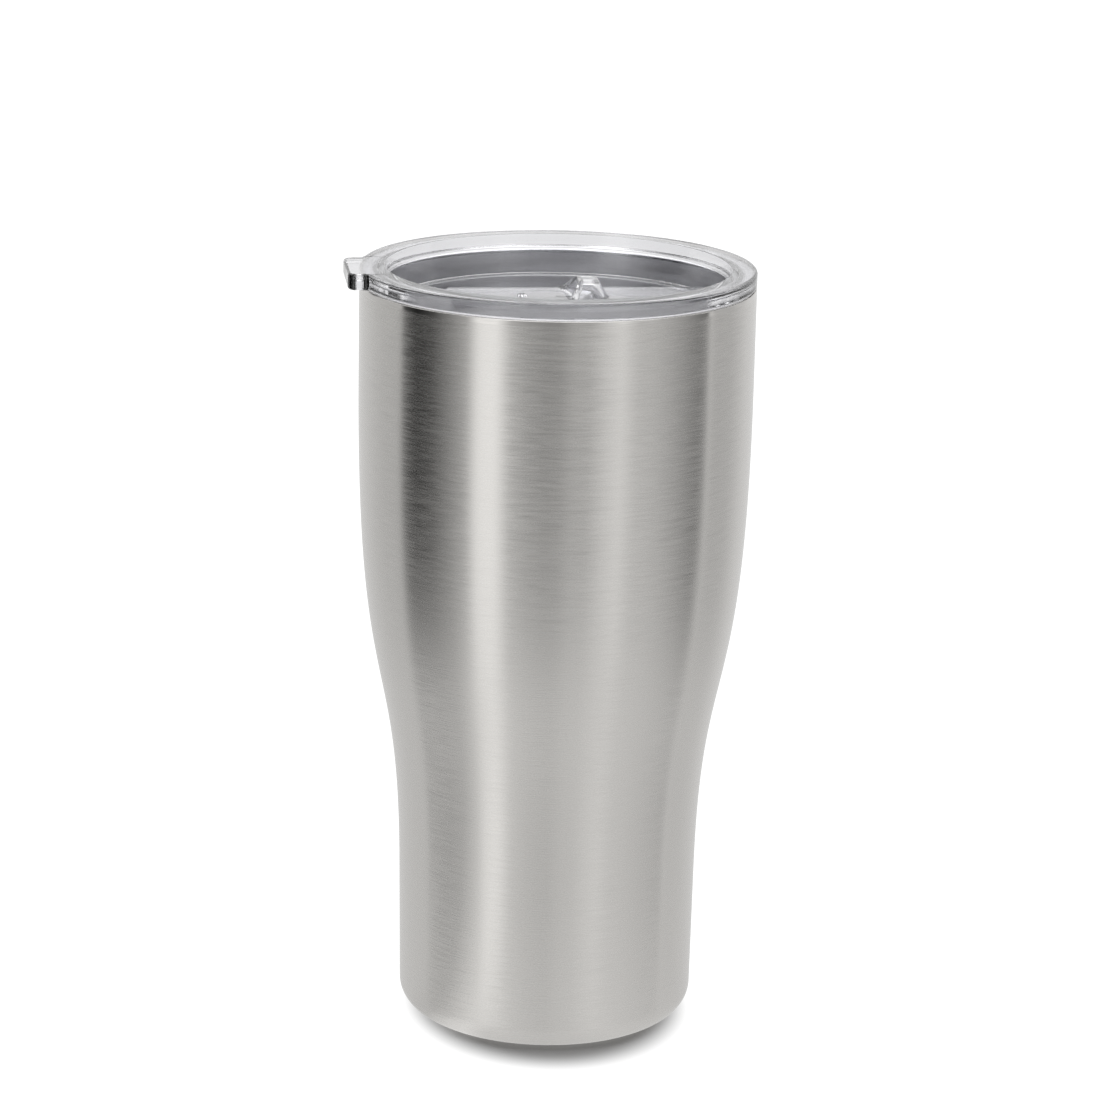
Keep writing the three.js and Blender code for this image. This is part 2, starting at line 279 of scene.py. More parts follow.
def prism(name, outline, bottom, top, edge):
    """An upright solid on an outline, with its top and bottom edges rounded off."""
    rows = []
    for k in range(FILLET_STEPS + 1):
        angle = math.pi / 2 * k / FILLET_STEPS
        inset = edge * (1 - math.sin(angle))
        rows.append(at_height(offset(outline, -inset), bottom + edge * (1 - math.cos(angle))))
    for k in range(FILLET_STEPS + 1):
        angle = math.pi / 2 * k / FILLET_STEPS
        inset = edge * (1 - math.cos(angle))
        rows.append(at_height(offset(outline, -inset), top - edge * (1 - math.sin(angle))))
    return lofted(name, rows)


def hole_cutter(name, outline, bottom, top, flare):
    """What cuts a hole through a plate and leaves the hole's two edges rounded off."""
    clear = 2 * MM
    rows = [at_height(offset(outline, flare), bottom - clear)]
    for k in range(FILLET_STEPS + 1):
        angle = math.pi / 2 * k / FILLET_STEPS
        out = flare * (1 - math.sin(angle))
        rows.append(at_height(offset(outline, out), bottom + flare * (1 - math.cos(angle))))
    for k in range(FILLET_STEPS + 1):
        angle = math.pi / 2 * k / FILLET_STEPS
        out = flare * (1 - math.cos(angle))
        rows.append(at_height(offset(outline, out), top - flare * (1 - math.sin(angle))))
    rows.append(at_height(offset(outline, flare), top + clear))
    return lofted(name, rows)


def combine(piece, tool, operation):
    """Joins tool to piece or cuts it away, and removes tool."""
    step = piece.modifiers.new("combine", "BOOLEAN")
    step.operation = operation
    step.solver = "EXACT"
    step.object = tool
    bpy.context.view_layer.update()
    evaluated = piece.evaluated_get(bpy.context.evaluated_depsgraph_get())
    made = bpy.data.meshes.new_from_object(evaluated)
    piece.modifiers.clear()
    piece.data = made
    bpy.data.objects.remove(tool)


def finish_piece(piece, material, body, nodes):
    """Shading, material, and its place in the frame."""
    mesh = piece.data
    mesh.materials.clear()
    mesh.materials.append(material)
    mesh.shade_smooth()
    mesh.set_sharp_from_angle(angle=SHARP_ANGLE)
    normals = piece.modifiers.new("even shading", "WEIGHTED_NORMAL")
    normals.keep_sharp = True
    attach(piece, body)
    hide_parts(*nodes)


# ---- materials ----

LIP_POLISH = (1.6 * MM, 1.0 * MM)  # depths below the lip's top over which its polish sets in
POLISHED_ROUGHNESS = 0.12


class Nodes:
    """Short calls to add nodes to a tree and join them."""

    def __init__(self, tree):
        self.tree = tree

    def node(self, kind, inputs=(), **settings):
        """A new node. Each input is a number to set or another node's output to link."""
        made = self.tree.nodes.new(kind)
        for key, value in settings.items():
            setattr(made, key, value)
        for key, value in dict(inputs).items():
            if isinstance(value, bpy.types.NodeSocket):
                self.tree.links.new(value, made.inputs[key])
            else:
                made.inputs[key].default_value = value
        return made

    def by_direction(self, vector, table):
        """table's brightness for the direction of vector, seen from above."""
        turned = self.node(
            "ShaderNodeVectorRotate", {"Vector": vector, "Angle": -CAMERA_TURN}, rotation_type="Z_AXIS",
        ).outputs[0]
        part = self.node("ShaderNodeSeparateXYZ", {0: turned}).outputs
        towards = self.node("ShaderNodeMath", {0: part["Y"], 1: -1.0}, operation="MULTIPLY").outputs[0]
        angle = self.node("ShaderNodeMath", {0: part["X"], 1: towards}, operation="ARCTAN2").outputs[0]
        along = self.node(
            "ShaderNodeMapRange", {"Value": angle, "From Min": -math.pi, "From Max": math.pi},
        ).outputs["Result"]
        curve = self.node("ShaderNodeFloatCurve", {"Value": along})
        points = curve.mapping.curves[0].points
        places = [((degrees + 180) / 360, value / BRIGHTEST) for degrees, value in table]
        points[0].location, points[1].location = places[0], places[-1]
        for spot in places[1:-1]:
            points.new(*spot)
        for spot in points:
            spot.handle_type = "VECTOR"
        curve.mapping.update()
        bright = self.node("ShaderNodeMath", {0: curve.outputs[0], 1: BRIGHTEST}, operation="MULTIPLY")
        return bright.outputs[0]


class Material(Nodes):
    """A node material with a Principled shader."""

    def __init__(self, name, **sockets):
        self.made = bpy.data.materials.new(name)
        self.made.use_nodes = True
        super().__init__(self.made.node_tree)
        self.shader = self.tree.nodes["Principled BSDF"]
        for socket, value in sockets.items():
            self.shader.inputs[socket.replace("_", " ")].default_value = value

    def link(self, output, socket):
        self.tree.links.new(output, self.shader.inputs[socket])

    def stretched(self, scale, wander=0.0):
        """Object coordinates scaled differently along each axis, with wander up and down."""
        place = self.node("ShaderNodeTexCoord").outputs["Object"]
        if wander:
            slow = self.node(
                "ShaderNodeTexNoise", {"Vector": place, "Scale": 70.0, "Detail": 1.0},
            ).outputs["Fac"]
            rise = self.node("ShaderNodeCombineXYZ", {
                "Z": self.node("ShaderNodeMath", {0: slow, 1: wander}, operation="MULTIPLY").outputs[0],
            }).outputs[0]
            place = self.node("ShaderNodeVectorMath", {0: place, 1: rise}, operation="ADD").outputs[0]
        return self.node("ShaderNodeVectorMath", {0: place, 1: scale}, operation="MULTIPLY").outputs[0]

    def noise(self, scale, detail=3.0, roughness=0.5, wander=0.0):
        """Noise with scale bumps to the metre along x, y and z."""
        return self.node(
            "ShaderNodeTexNoise",
            {
                "Vector": self.stretched(scale, wander),
                "Scale": 1.0,
                "Detail": detail,
                "Roughness": roughness,
            },
        ).outputs["Fac"]

    def spread(self, value, low, high):
        """value, from about 0.3 to 0.7, carried over to low to high."""
        return self.node(
            "ShaderNodeMapRange",
            {"Value": value, "From Min": 0.3, "From Max": 0.7, "To Min": low, "To Max": high},
        ).outputs["Result"]

    def ramp(self, value, dark, light):
        """A colour from dark to light."""
        first_colour, second_colour, mixed_colour = 6, 7, 2
        made = self.node("ShaderNodeMix", {
            "Factor": value, first_colour: (*dark, 1), second_colour: (*light, 1),
        }, data_type="RGBA")
        return made.outputs[mixed_colour]

    def polished_lip(self, roughness):
        """roughness, but nearly a mirror on the drinking lip."""
        place = self.node("ShaderNodeTexCoord").outputs["Object"]
        height = self.node("ShaderNodeSeparateXYZ", {0: place}).outputs["Z"]
        lip = self.node("ShaderNodeMapRange", {
            "Value": height, "From Min": rim_height - LIP_POLISH[0], "From Max": rim_height - LIP_POLISH[1],
        }).outputs["Result"]
        return self.node(
            "ShaderNodeMix", {"Factor": lip, "A": roughness, "B": POLISHED_ROUGHNESS},
        ).outputs["Result"]

    def bump(self, height, strength, distance):
        made = self.node(
            "ShaderNodeBump", {"Height": height, "Strength": strength, "Distance": distance},
        )
        self.link(made.outputs["Normal"], "Normal")


class TurnedSteel(Material):
    """Steel worked round the axis, so its gloss spreads up and down, with a polished drinking lip."""

    def __init__(self, name, anisotropy):
        super().__init__(name, Metallic=1.0, Anisotropic=anisotropy, Anisotropic_Rotation=0.25)
        tangent = self.node("ShaderNodeTangent", direction_type="RADIAL", axis="Z")
        self.link(tangent.outputs["Tangent"], "Tangent")

    def colour_and_roughness(self, tone, dark, light, pattern, low, high):
        """Colour from dark to light by tone, and roughness from low to high by pattern."""
        self.link(self.ramp(tone, dark, light), "Base Color")
        self.link(self.polished_lip(self.spread(pattern, low, high)), "Roughness")


def brushed_steel():
    """The outside, with fine brushing round the axis."""
    steel = TurnedSteel("brushed steel", 1.0)
    fine = steel.noise((150, 150, 3500), detail=2.0, wander=0.6 * MM)
    coarse = steel.noise((50, 50, 1200), detail=2.0, wander=0.6 * MM)
    streaks = steel.node("ShaderNodeMix", {"Factor": 0.2, "A": fine, "B": coarse}).outputs["Result"]
    tone = steel.spread(streaks, 0.2, 0.8)
    dark, light = (0.543, 0.53, 0.512), (0.705, 0.69, 0.666)
    steel.colour_and_roughness(tone, dark, light, streaks, 0.19, 0.33)
    steel.bump(fine, 0.12, 0.02 * MM)
    return steel.made


def lightened_satin_steel():
    """The liner's smoother inside, with faint marks of its forming. Its colour is lighter than plain
    stainless: partly its smoother finish, partly painted light standing in for light that the dim inside
    lacks.
    """
    steel = TurnedSteel("lightened satin steel", 0.6)
    grain = steel.noise((900, 900, 2600), detail=4.0)
    marks = steel.noise((35, 35, 700), detail=3.0, wander=1.5 * MM)
    pattern = steel.node("ShaderNodeMix", {"Factor": 0.6, "A": grain, "B": marks}).outputs["Result"]
    tone = steel.spread(pattern, 0, 1)
    # painted light: these colours sit well above the outer steel's, so the inside reads brighter than its
    # light alone makes it
    dark, light = (0.82, 0.82, 0.83), (0.99, 0.99, 1.0)
    steel.colour_and_roughness(tone, dark, light, pattern, 0.36, 0.46)
    steel.bump(grain, 0.2, 0.03 * MM)
    return steel.made


def clear_plastic():
    """Faintly cool clear plastic, with the slow waves of its moulding and fine scuffs."""
    plastic = Material(
        "clear plastic", Transmission_Weight=1.0, IOR=1.54, Base_Color=(0.945, 0.945, 0.965, 1),
    )
    flow = plastic.noise((55, 55, 90), detail=2.0)
    scuffs = plastic.noise((900, 260, 500), detail=5.0, roughness=0.7)
    plastic.link(plastic.spread(scuffs, 0.015, 0.06), "Roughness")
    plastic.bump(flow, 0.25, 0.25 * MM)
    return plastic.made


def silicone(name, dark, light, roughness, **sockets):
    """Cloudy silicone with a fine matt grain."""
    rubber = Material(name, **sockets)
    grain = rubber.noise((2500, 2500, 2500), detail=3.0)
    cloud = rubber.noise((90, 90, 90), detail=3.0)
    rubber.link(rubber.ramp(rubber.spread(cloud, 0, 1), dark, light), "Base Color")
    rubber.link(rubber.spread(grain, roughness - 0.06, roughness + 0.06), "Roughness")
    rubber.bump(grain, 0.25, 0.03 * MM)
    return rubber.made


def dull_solid(name, dark, light, roughness, **sockets):
    """A fine-grained solid, such as sintered metal or solder glass."""
    solid = Material(name, **sockets)
    grain = solid.noise((3000, 3000, 3000), detail=4.0)
    solid.link(solid.ramp(solid.spread(grain, 0, 1), dark, light), "Base Color")
    solid.link(solid.spread(grain, roughness - 0.08, roughness + 0.08), "Roughness")
    solid.bump(grain, 0.4, 0.04 * MM)
    return solid.made


# ---- cup ----

def outer_shell():
    """The outside wall, up over the outer half of the drinking lip."""
    outside = body_outline(0, 0, foot_corner, rim_height - lip_rounding)
    lip = filleted([
        outside[-1],
        (rim_radius, rim_height, lip_rounding * 0.999),
        (lip_seam_radius, rim_height),
    ])
    inside = body_outline(wall, wall, foot_corner - wall, rim_height - 2 * wall)
    profile = [(foot_opening, foot_edge_rise), (foot_opening + foot_edge_width, 0)]
    profile += outside[:-1]
    profile += [tuple(p) for p in lip]
    profile += [(lip_seam_radius, rim_height - 2 * wall)]
    profile += inside[::-1]
    profile += [(foot_opening, wall)]
    return revolved("outer_shell_wall", profile)


def inner_liner():
    """The inside wall, up over the inner half of the drinking lip."""
    inset = wall + vacuum_gap
    inner_radius = rim_radius - inset - wall
    drink_side = body_outline(
        inset + wall, liner_floor, liner_corner, rim_height - 1.2 * lip_inner_rounding,
    )
    vacuum_side = body_outline(inset, liner_floor - wall, liner_corner + wall, rim_height - 2 * wall)
    lip = filleted([
        (lip_seam_radius - lip_seam_gap, rim_height),
        (inner_radius, rim_height, lip_inner_rounding),
        drink_side[-1],
    ])
    profile = [(lip_seam_radius - lip_seam_gap, rim_height - wall)]
    profile += [tuple(p) for p in lip]
    profile += drink_side[-2::-1]
    profile += [(liner_weld_radius, liner_floor), (liner_weld_radius, liner_floor - wall)]
    profile += vacuum_side
    return revolved("liner_wall", profile)


def liner_floor_disc():
    radius = floor_disc_high.x
    top, bottom = floor_disc_high.z, floor_disc_low.z
    profile = [(0, bottom), (radius, bottom)]
    profile += [tuple(p) for p in filleted([
        (radius, bottom), (radius, top, 0.15 * MM), (0, top),
    ])][1:]
    return revolved("liner_floor_disc", profile)


def base_pan():
    """The pressed pan under the cup, with its dimple."""
    radius = pan_high.x
    recess = 1.7 * MM
    exhaust_hole = 0.6 * MM
    dimple_top_radius = 3.2 * MM
    dimple_foot_radius = 4.4 * MM
    slant = 0.25 * MM  # what the wall adds to the dimple's radii on its upper side
    bend = 0.5 * MM
    dimple_top = pan_high.z - wall
    profile = filleted([
        (exhaust_hole, dimple_top),
        (dimple_top_radius, dimple_top, bend),
        (dimple_foot_radius, recess, bend),
        (radius - wall, recess, 0.3 * MM),
        (radius - wall, pan_low.z),
        (radius, pan_low.z),
        (radius, recess + wall, 0.7 * MM),
        (dimple_foot_radius + slant, recess + wall, bend),
        (dimple_top_radius + slant, pan_high.z, bend),
        (exhaust_hole, pan_high.z),
    ])
    return revolved("base_pan", [tuple(p) for p in profile])


def base_pad():
    """The non-slip pad: shallow rings round a plain middle."""
    radius = pad_high.x
    rings = 7
    ring_pitch = 2.4 * MM
    border = 1.6 * MM
    groove_depth = 0.35 * MM
    groove_width = 1.0 * MM
    groove_slope = 0.25 * MM
    rounding = 0.12 * MM
    corners = [(0, pad_low.z)]
    first = radius - border - rings * ring_pitch
    for i in range(rings):
        start = first + i * ring_pitch
        end = start + groove_width
        corners += [
            (start, pad_low.z, rounding),
            (start + groove_slope, pad_low.z + groove_depth, rounding),
            (end - groove_slope, pad_low.z + groove_depth, rounding),
            (end, pad_low.z, rounding),
        ]
    corners += [(radius, pad_low.z, 0.4 * MM), (radius, pad_high.z, 0.2 * MM), (0, pad_high.z)]
    return revolved("non_slip_pad", [tuple(p) for p in filleted(corners, steps=3)])


def seal_bead():
    radius = seal_high.x
    height = seal_high.z - seal_low.z
    steps = 8
    profile = [(0, seal_low.z)]
    for k in range(1, steps + 1):
        angle = math.pi / 2 * k / steps
        profile.append((radius * math.sin(angle), seal_low.z + height / 2 * (1 - math.cos(angle))))
    profile += [(radius * 0.95, seal_high.z - height / 6), (radius * 0.85, seal_high.z), (0, seal_high.z)]
    return revolved("exhaust_seal_bead", profile, 64)


def getter_holder():
    middle = (clip_low.x + clip_high.x) / 2
    thickness = 0.4 * MM
    strap_width = 4.2 * MM
    strap_corner = 1.5 * MM
    sunk = 0.01 * MM  # keeps the strap's faces off the holder's own
    outer = (clip_high.y - clip_low.y) / 2
    cup = revolved("getter_holder", [tuple(p) for p in filleted([
        (0, clip_low.z),
        (outer, clip_low.z, 0.5 * MM),
        (outer, clip_high.z),
        (outer - thickness, clip_high.z),
        (outer - thickness, clip_low.z + thickness, 0.2 * MM),
        (0, clip_low.z + thickness),
    ])], 96, middle)
    strap = prism(
        "strap", rounded_rectangle(middle, clip_high.x - clip_low.x, strap_width, strap_corner),
        clip_low.z + sunk, clip_low.z + thickness - sunk, 0.1 * MM,
    )
    combine(cup, strap, "UNION")
    return cup


def getter_pill():
    middle = (pill_low.x + pill_high.x) / 2
    radius = (pill_high.y - pill_low.y) / 2
    profile = filleted([
        (0, pill_low.z),
        (radius, pill_low.z, 0.35 * MM),
        (radius, pill_high.z, 0.35 * MM),
        (0, pill_high.z),
    ])
    return revolved("getter_pill", [tuple(p) for p in profile], 96, middle)


# ---- lid ----

def flange_outline():
    """The flange's outside seen from above: a circle with the pull tab on its -X side."""
    half = tab_width / 2
    joint = math.asin(half / rim_radius)
    steps = 320
    span = 2 * (math.pi - joint)
    start = -(math.pi - joint)
    arc = [start + span * k / steps for k in range(1, steps)]
    corners = [(-tab_reach, half, tab_corner), (-tab_reach, -half, tab_corner)]
    corners.append((rim_radius * math.cos(start), -half, tab_root))
    corners += [(rim_radius * math.cos(a), rim_radius * math.sin(a)) for a in arc]
    corners.append((rim_radius * math.cos(start), half, tab_root))
    return densified(filleted(corners, closed=True, steps=8), 1.0 * MM)


def lid_ring():
    """Flange, tab, recess, floor and plug skirt, as one loft through rows round the axis."""
    outline = flange_outline()
    turns = [p.normalized() for p in outline]
    flange_edge = rim_radius - 1.5 * MM
    profile = filleted([
        (0, lid_floor_bottom),
        (skirt_inner_radius, lid_floor_bottom, 0.8 * MM),
        (skirt_inner_radius + 0.3 * MM, plug_bottom, 0.4 * MM),
        (plug_radius, plug_bottom, 0.45 * MM),
        (plug_radius, groove_bottom, 0.12 * MM),
        (groove_radius, groove_bottom, 0.2 * MM),
        (groove_radius, groove_top, 0.2 * MM),
        (plug_radius, groove_top, 0.2 * MM),
        (plug_radius, flange_bottom, 0.5 * MM),
        (rim_radius, flange_bottom, 0.8 * MM),
        (rim_radius, flange_top, 0.8 * MM),
        (recess_top_radius, flange_top, 0.5 * MM),
        (recess_floor_radius, lid_floor_top, 0.9 * MM),
        (0, lid_floor_top),
    ])
    rows = []
    for r, z in profile[1:-1]:
        plan = offset(outline, r - rim_radius) if r > flange_edge else [t * r for t in turns]
        rows.append(at_height(plan, z))
    return lofted("lid_moulding", rows)


def lid_body():
    lid = lid_ring()
    hole = rounded_rectangle(*drink_hole, steps=16)
    slot = rounded_rectangle(stem_x - slider_travel / 2, slot_length, slot_width, small_corner)
    vent = circle(vent_radius, vent_x - slider_travel)
    for name, outline, flare in (("hole", hole, 0.5), ("slot", slot, 0.3), ("vent", vent, 0.3)):
        cutter = hole_cutter(name, outline, lid_floor_bottom, lid_floor_top, flare * MM)
        combine(lid, cutter, "DIFFERENCE")
    return lid


def lid_gasket():
    """A silicone ring with two sealing lips."""
    inner = groove_radius + 0.3 * MM
    outer = plug_radius - 0.4 * MM
    lip = gasket_high.x
    bottom, top = gasket_low.z, gasket_high.z
    pitch = (top - bottom) / 4
    profile = filleted([
        (inner, bottom, 0.2 * MM),
        (outer, bottom, 0.2 * MM),
        (lip, bottom + pitch * 1.15, 0.18 * MM),
        (outer, bottom + 2 * pitch, 0.25 * MM),
        (lip, bottom + pitch * 3.15, 0.18 * MM),
        (outer, top, 0.2 * MM),
        (inner, top, 0.2 * MM),
    ], closed=True)
    return revolved("gasket_ring", [tuple(p) for p in profile])


# ---- sliding closure ----

def smooth_min(a, b, blend):
    share = max(0.0, min(1.0, 0.5 + 0.5 * (b - a) / blend))
    return b + (a - b) * share - blend * share * (1 - share)


def grip_height_at(x, y, inset=0.0):
    """Height of the thumb grip over the plate: a crescent, steep towards the tab.
    With an inset, the height of the hollow under it, with walls of that thickness."""
    push_slope, finger_slope, shoulder_slope = 4.7 / 2.7, 5.5, 4.7 / 8.5
    push_side = (grip_push_radius - inset - math.hypot(x - grip_push_x, y)) * push_slope
    finger_side = (math.hypot(x - grip_finger_x, y) - grip_finger_radius - inset) * finger_slope
    shoulders = (grip_half_width - 1.6 * inset - abs(y)) * shoulder_slope
    height = smooth_min(push_side, finger_side, 0.4 * MM)
    height = smooth_min(height, shoulders, 1.0 * MM)
    return smooth_min(height, grip_height - inset, 0.4 * MM)


def boss_height_at(x, y):
    """Height of the low round boss about the vent."""
    reach = math.hypot(x - vent_x, y)
    slope = 3
    height = smooth_min((boss_radius - reach) * slope, boss_height, 0.3 * MM)
    return -smooth_min(-height, 0, 0.2 * MM)


def grid_lines(start, end, edge, fine=(), step=0.9 * MM, fine_step=0.2 * MM):
    """Grid positions from start to end: close at both edges and inside each fine stretch."""
    near = [edge * (1 - math.cos(math.pi / 2 * k / FILLET_STEPS)) for k in range(FILLET_STEPS + 1)]
    marks = [start + d for d in near] + [end - d for d in near]
    here = start + edge
    while here < end - edge:
        marks.append(here)
        here += fine_step if any(low <= here <= high for low, high in fine) else step
    tidy = []
    for mark in sorted(marks):
        if not tidy or mark - tidy[-1] > 0.01 * MM:
            tidy.append(mark)
    tidy[-1] = end
    return tidy


def slider_plate():
    """The plate with its grip and vent boss, as one skin of heights over a grid."""
    half = slider_half_width
    tip = math.sqrt(slider_end_radius ** 2 - half ** 2)
    about_vent = (-11.5 * MM, -7 * MM)
    about_grip = (0.5 * MM, 14 * MM)
    xs = grid_lines(slider_travel - tip, tip, plate_edge, [about_vent, about_grip])
    ys = grid_lines(-half, half, plate_edge, step=0.3 * MM)
    low_tip, length = xs[0], xs[-1] - xs[0]

    def place(x, y):
        """Both ends bulge outwards, to follow the round recess."""
        bulge = math.sqrt(slider_end_radius ** 2 - y * y) - tip
        return x + bulge * (2 * (x - low_tip) / length - 1)

    def fallen(from_edge):
        """How far the edge rounding has dropped at this distance from the edge."""
        return plate_edge - math.sqrt(max(0.0, plate_edge ** 2 - max(0.0, plate_edge - from_edge) ** 2))

    def upper(x, y, drop):
        grip = -smooth_min(-grip_height_at(x, y), 0, 0.5 * MM)
        return plate_top - drop + grip + boss_height_at(x, y)

    def lower(x, y, drop):
        hollow = plate_top + grip_height_at(x, y, grip_wall)
        return max(plate_bottom + 0.5 * drop, hollow)

    vertices = []
    for height in (upper, lower):
        for x in xs:
            for y in ys:
                from_edge = min(x - xs[0], xs[-1] - x, y - ys[0], ys[-1] - y)
                px = place(x, y)
                vertices.append((px, y, height(px, y, fallen(from_edge))))
    nx, ny = len(xs), len(ys)
    under = nx * ny
    faces = []
    for i in range(nx - 1):
        for j in range(ny - 1):
            a = i * ny + j
            faces.append((a, a + ny, a + ny + 1, a + 1))
            faces.append((under + a, under + a + 1, under + a + ny + 1, under + a + ny))
    for i in range(nx - 1):
        for j in (0, ny - 1):
            a = i * ny + j
            faces.append((a, a + ny, under + a + ny, under + a))
    for j in range(ny - 1):
        for i in (0, nx - 1):
            a = i * ny + j
            faces.append((a, a + 1, under + a + 1, under + a))
    return mesh_object("slider_plate", vertices, faces)


def slider():
    plate = slider_plate()
    stem_length, head_length, width = 5 * MM, 6.4 * MM, 3.2 * MM
    corner = 0.5 * MM
    into_head, into_plate = 0.4 * MM, 0.6 * MM
    head_top = retainer_low.z - 0.3 * MM
    stem = prism(
        "stem", rounded_rectangle(stem_x, stem_length, width, corner),
        head_top - into_head, plate_bottom + into_plate, 0.1 * MM,
    )
    head = prism(
        "head", rounded_rectangle(stem_x, head_length, width, corner),
        slider_low.z, head_top, 0.25 * MM,
    )
    combine(plate, stem, "UNION")
    combine(plate, head, "UNION")
    vent = hole_cutter(
        "vent", circle(vent_radius, vent_x), plate_bottom, plate_top + boss_height, 0.2 * MM,
    )
    combine(plate, vent, "DIFFERENCE")
    return plate


def slider_retainer():
    middle = (retainer_low.x + retainer_high.x) / 2
    length, width = retainer_high.x - retainer_low.x, retainer_high.y - retainer_low.y
    corner, opening_length = 2 * MM, 5.6 * MM
    washer = prism(
        "retainer_clip", rounded_rectangle(middle, length, width, corner),
        retainer_low.z, retainer_high.z, 0.3 * MM,
    )
    opening = rounded_rectangle(middle, opening_length, slot_width, small_corner)
    cutter = hole_cutter("opening", opening, retainer_low.z, retainer_high.z, 0.2 * MM)
    combine(washer, cutter, "DIFFERENCE")
    return washer


# ---- camera, floor and light ----

CAMERA_TURN = math.radians(-6.7)
CAMERA_PITCH = math.radians(15.137)
CAMERA_ROLL = math.radians(1.144)
CAMERA_PLACE = Vector((-0.000727, -0.93508, 0.3779))
CAMERA_LENS = 121.24

WHITE = 1.15  # brightness of the backdrop and of the far floor
BRIGHTEST = 2.5  # more than any brightness in the tables below
FLOOR_SIZE = 12.0
LIT_REACH = (0.036, 0.051)  # distances over which the lit floor gives way to plain white
SHADOW_SHIFT = (0, 0.003, 0)  # puts the lit patch a little in front of the cup
SHADOW_STRETCH = (1.25, 1, 1)  # and makes it narrower than deep
MIRROR_REACH = (0.17, 0.37)  # distances over which the floor fades from the steel's reflections
SOFTBOX_PLACE = Vector((0, 0.3, 1.4))
SOFTBOX_SIZE = (2.4, 2.2)
AMBIENT = 0.1  # brightness of the studio for dull surfaces, which the softbox lights

# Brightness of the studio as seen from the cup, by the angle from the camera's side, in degrees:
# a white backdrop behind, a black flag and a key softbox on the left, a wide fill on the right.
STUDIO = [
    (-180, 0.84), (-140, 0.75), (-118, 0.64), (-101, 0.60), (-99, 0.08), (-88, 0.01), (-76, 0.08),
    (-64, 0.30), (-53, 0.55), (-46, 1.25), (-35, 1.25), (-26, 0.62), (-16, 0.44), (-6, 0.36),
    (2, 0.38), (10, 0.53), (19, 0.56), (28, 0.80), (38, 1.0), (48, 0.72), (58, 0.66), (68, 0.56),
    (79, 0.42), (91, 0.24), (96, 0.22), (98.5, 0.85), (103, 0.60), (120, 0.60), (141, 0.8), (180, 0.84),
]
# The same for the floor close to the cup, as the steel sees it.
MIRRORED_FLOOR = [
    (-180, 0.8), (-110, 0.8), (-85, 0.80), (-70, 0.75), (-60, 0.75), (-45, 1.05), (-36, 1.15),
    (-25, 0.92), (0, 0.85), (30, 0.92), (60, 0.85), (90, 0.80), (110, 0.8), (180, 0.8),
]


def add_camera():
    data = bpy.data.cameras.new("camera")
    data.lens = CAMERA_LENS
    data.sensor_width = 36
    data.clip_start = 0.01
    data.clip_end = 50
    camera = bpy.data.objects.new("camera", data)
    bpy.context.scene.collection.objects.link(camera)
    turn = Matrix.Rotation(CAMERA_TURN, 4, "Z")
    tilt = Matrix.Rotation(math.pi / 2 - CAMERA_PITCH, 4, "X")
    roll = Matrix.Rotation(CAMERA_ROLL, 4, "Z")
    camera.matrix_world = turn @ Matrix.Translation(CAMERA_PLACE) @ tilt @ roll
    bpy.context.scene.camera = camera


def add_floor():
    """A pale floor that is lit near the cup, plain white further off, and clear from below.
    The steel sees it only near the cup: further off stand the studio's flags and softboxes."""
    half = FLOOR_SIZE / 2
    corners = [(-half, -half, 0), (half, -half, 0), (half, half, 0), (-half, half, 0)]
    floor = mesh_object("floor", corners, [(0, 1, 2, 3)])
    pale = Material("pale floor", Base_Color=(0.55, 0.55, 0.55, 1), Roughness=0.9)
    pale.shader.inputs["Specular IOR Level"].default_value = 0.1
    place = pale.node("ShaderNodeNewGeometry").outputs["Position"]
    shadow = pale.node("ShaderNodeVectorMath", {0: place, 1: SHADOW_SHIFT}, operation="ADD").outputs[0]
    shadow = pale.node(
        "ShaderNodeVectorMath", {0: shadow, 1: SHADOW_STRETCH}, operation="MULTIPLY",
    ).outputs[0]

    def share(spot, start, end):
        """0 nearer than start, 1 further than end."""
        reach = pale.node("ShaderNodeVectorMath", {0: spot}, operation="LENGTH").outputs["Value"]
        return pale.node(
            "ShaderNodeMapRange", {"Value": reach, "From Min": start, "From Max": end},
            interpolation_type="SMOOTHSTEP",
        ).outputs["Result"]

    white = pale.node("ShaderNodeEmission", {"Strength": WHITE})
    mirrored = pale.node("ShaderNodeEmission", {"Strength": pale.by_direction(place, MIRRORED_FLOOR)})
    clear = pale.node("ShaderNodeBsdfTransparent")
    paths = pale.node("ShaderNodeLightPath")
    seen = pale.node(
        "ShaderNodeMixShader",
        {0: share(shadow, *LIT_REACH), 1: pale.shader.outputs[0], 2: white.outputs[0]},
    )
    in_steel = pale.node(
        "ShaderNodeMixShader",
        {0: share(place, *MIRROR_REACH), 1: mirrored.outputs[0], 2: clear.outputs[0]},
    )
    above = pale.node(
        "ShaderNodeMixShader",
        {0: paths.outputs["Is Glossy Ray"], 1: seen.outputs[0], 2: in_steel.outputs[0]},
    )
    side = pale.node("ShaderNodeNewGeometry").outputs["Backfacing"]
    floor_look = pale.node("ShaderNodeMixShader", {0: side, 1: above.outputs[0], 2: clear.outputs[0]})
    pale.tree.links.new(floor_look.outputs[0], pale.tree.nodes["Material Output"].inputs["Surface"])
    floor.data.materials.append(pale.made)


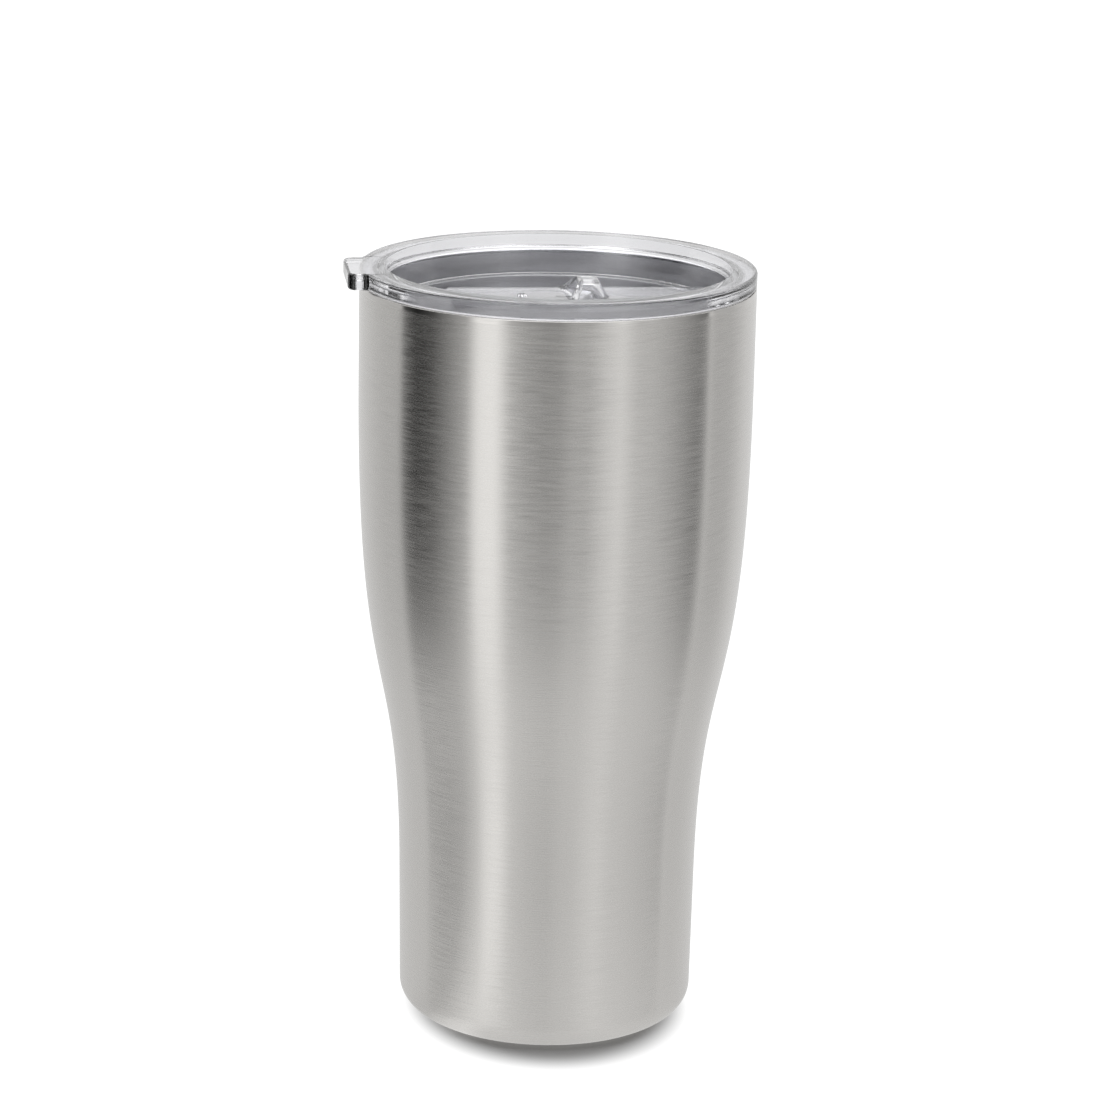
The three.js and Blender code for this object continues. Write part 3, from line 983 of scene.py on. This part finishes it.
def add_world():
    """The studio about the cup: plain white for the camera, its table for gloss, dim for dull surfaces."""
    world = bpy.data.worlds.new("studio")
    bpy.context.scene.world = world
    world.use_nodes = True
    studio = Nodes(world.node_tree)
    place = studio.node("ShaderNodeTexCoord").outputs["Generated"]
    paths = studio.node("ShaderNodeLightPath")
    lit = studio.node("ShaderNodeMix", {
        "Factor": paths.outputs["Is Diffuse Ray"], "A": studio.by_direction(place, STUDIO), "B": AMBIENT,
    }).outputs["Result"]
    glow = studio.node("ShaderNodeMix", {"Factor": paths.outputs["Is Camera Ray"], "A": lit, "B": WHITE})
    shade = world.node_tree.nodes["Background"]
    shade.inputs["Color"].default_value = (1, 1, 1, 1)
    world.node_tree.links.new(glow.outputs["Result"], shade.inputs["Strength"])


def add_softbox(name, power, through_plastic):
    """A softbox overhead that the camera doesn't see, nor, if asked, rays that leave the plastic."""
    data = bpy.data.lights.new(name, "AREA")
    data.shape = "RECTANGLE"
    data.size, data.size_y = SOFTBOX_SIZE
    data.energy = power
    box = bpy.data.objects.new(name, data)
    bpy.context.scene.collection.objects.link(box)
    box.location = SOFTBOX_PLACE
    box.rotation_euler = (-SOFTBOX_PLACE).to_track_quat("-Z", "Y").to_euler()
    box.visible_camera = False
    box.visible_transmission = through_plastic


# ---- assembly ----

add_camera()

steel = brushed_steel()
lightened_liner_steel = lightened_satin_steel()
plastic = clear_plastic()
soft_seal = silicone("clear silicone", (0.72, 0.73, 0.74), (0.8, 0.81, 0.82), 0.42,
                     Transmission_Weight=0.45, IOR=1.41)
pad_rubber = silicone("grey silicone", (0.10, 0.10, 0.105), (0.14, 0.14, 0.145), 0.6)
solder_glass = dull_solid("solder glass", (0.05, 0.055, 0.06), (0.1, 0.1, 0.11), 0.25)
sintered = dull_solid("sintered metal", (0.17, 0.165, 0.16), (0.3, 0.29, 0.28), 0.6, Metallic=0.8)

finish_piece(outer_shell(), steel, "tumbler", ["outer_shell"])
finish_piece(base_pan(), steel, "tumbler", ["outer_bottom"])
finish_piece(inner_liner(), lightened_liner_steel, "tumbler", ["inner_liner"])
finish_piece(liner_floor_disc(), lightened_liner_steel, "tumbler", ["liner_bottom"])
finish_piece(seal_bead(), solder_glass, "tumbler", ["vacuum_seal"])
finish_piece(getter_holder(), lightened_liner_steel, "tumbler", ["getter_clip"])
finish_piece(getter_pill(), sintered, "tumbler", ["getter"])
finish_piece(base_pad(), pad_rubber, "tumbler", ["base_pad"])
finish_piece(lid_gasket(), soft_seal, "lid_seal", ["lid_gasket"])
finish_piece(lid_body(), plastic, "lid", ["lid_body"])
finish_piece(slider(), plastic, "closure", ["slider"])
finish_piece(slider_retainer(), plastic, "closure", ["slider_retainer"])

add_floor()
add_world()
add_softbox("overhead", 15, through_plastic=True)
add_softbox("overhead_for_steel", 12, through_plastic=False)
bpy.context.scene.view_settings.view_transform = "Standard"
bpy.context.scene.cycles.max_bounces = 24
bpy.context.scene.cycles.glossy_bounces = 12
bpy.context.scene.cycles.transmission_bounces = 16
